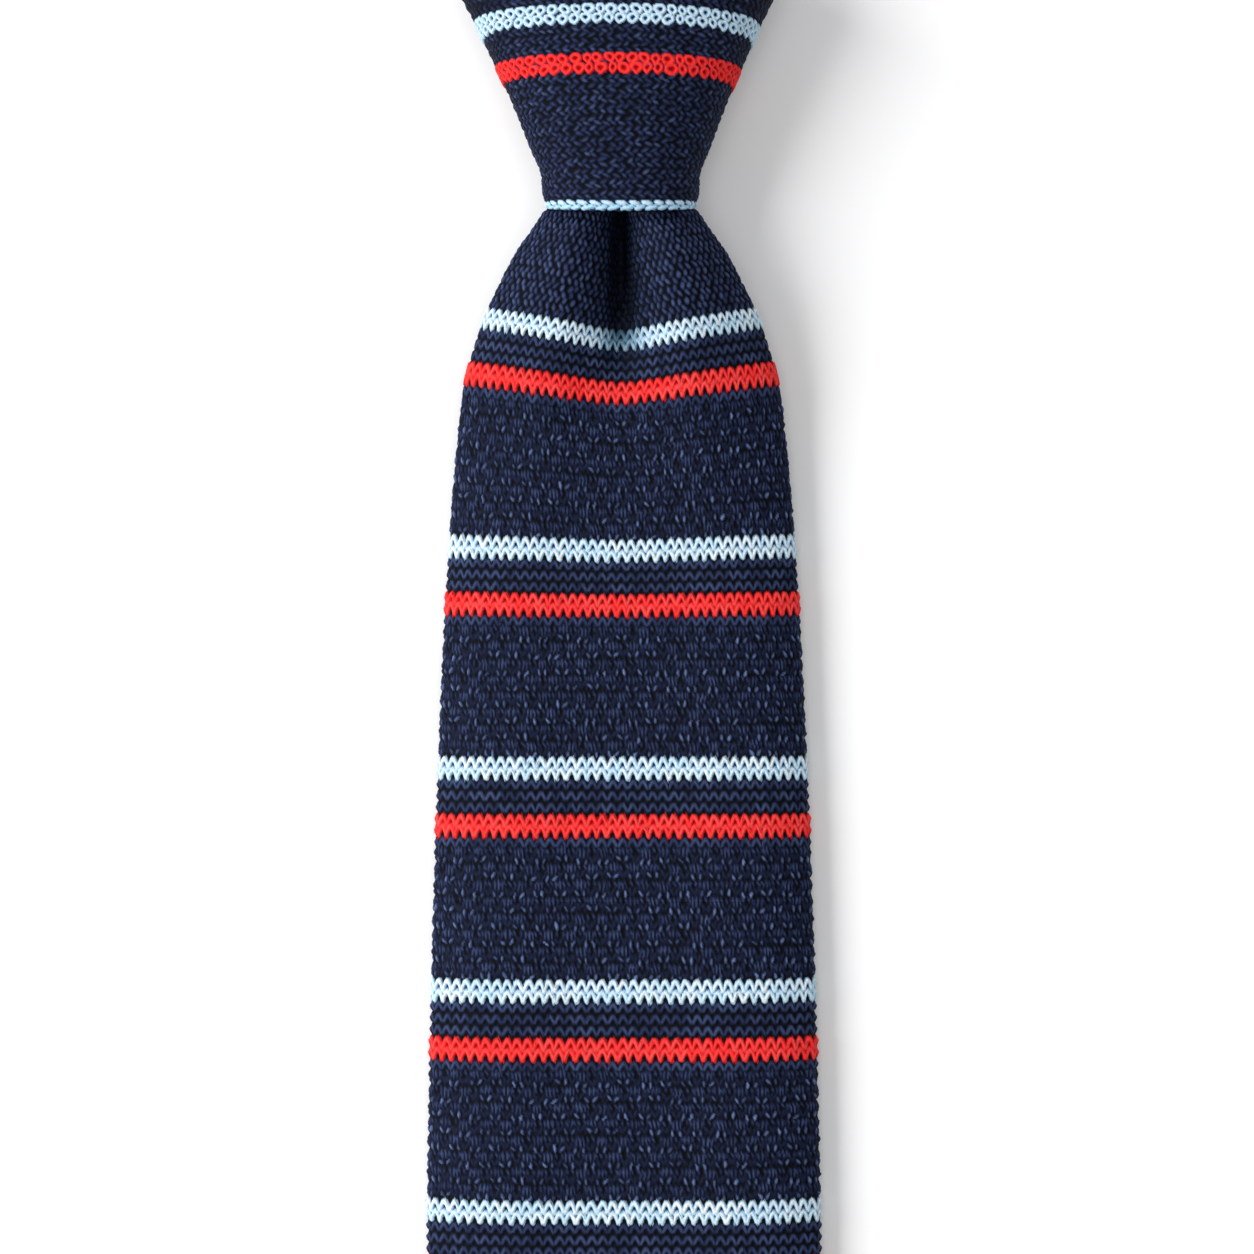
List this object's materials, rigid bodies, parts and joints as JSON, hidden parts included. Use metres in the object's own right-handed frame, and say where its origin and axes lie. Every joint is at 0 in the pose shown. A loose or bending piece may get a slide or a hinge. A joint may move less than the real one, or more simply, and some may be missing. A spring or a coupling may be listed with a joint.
{
  "type": "knit tie",
  "caption": "Tied knit necktie with a square end, dimpled below its knot, lying on its back with its neck loop open.",
  "frame": {"origin": "middle of the flat on the back of the knot, on the surface that the tie lies on", "axes": "+Y from the blade to the neck loop, +Z out of the front of the tie, +X to the right seen from the front"},
  "size_m": [0.1106, 0.6648, 0.0281],
  "materials": {
    "striped_knit": "matt stockinette knit, navy with narrow sky blue and red cross stripes"
  },
  "bodies": {
    "root": {"knot_wrap": "striped_knit", "front_blade": "striped_knit", "tail_blade": "striped_knit", "neck_band": "striped_knit"}
  },
  "joints": []
}
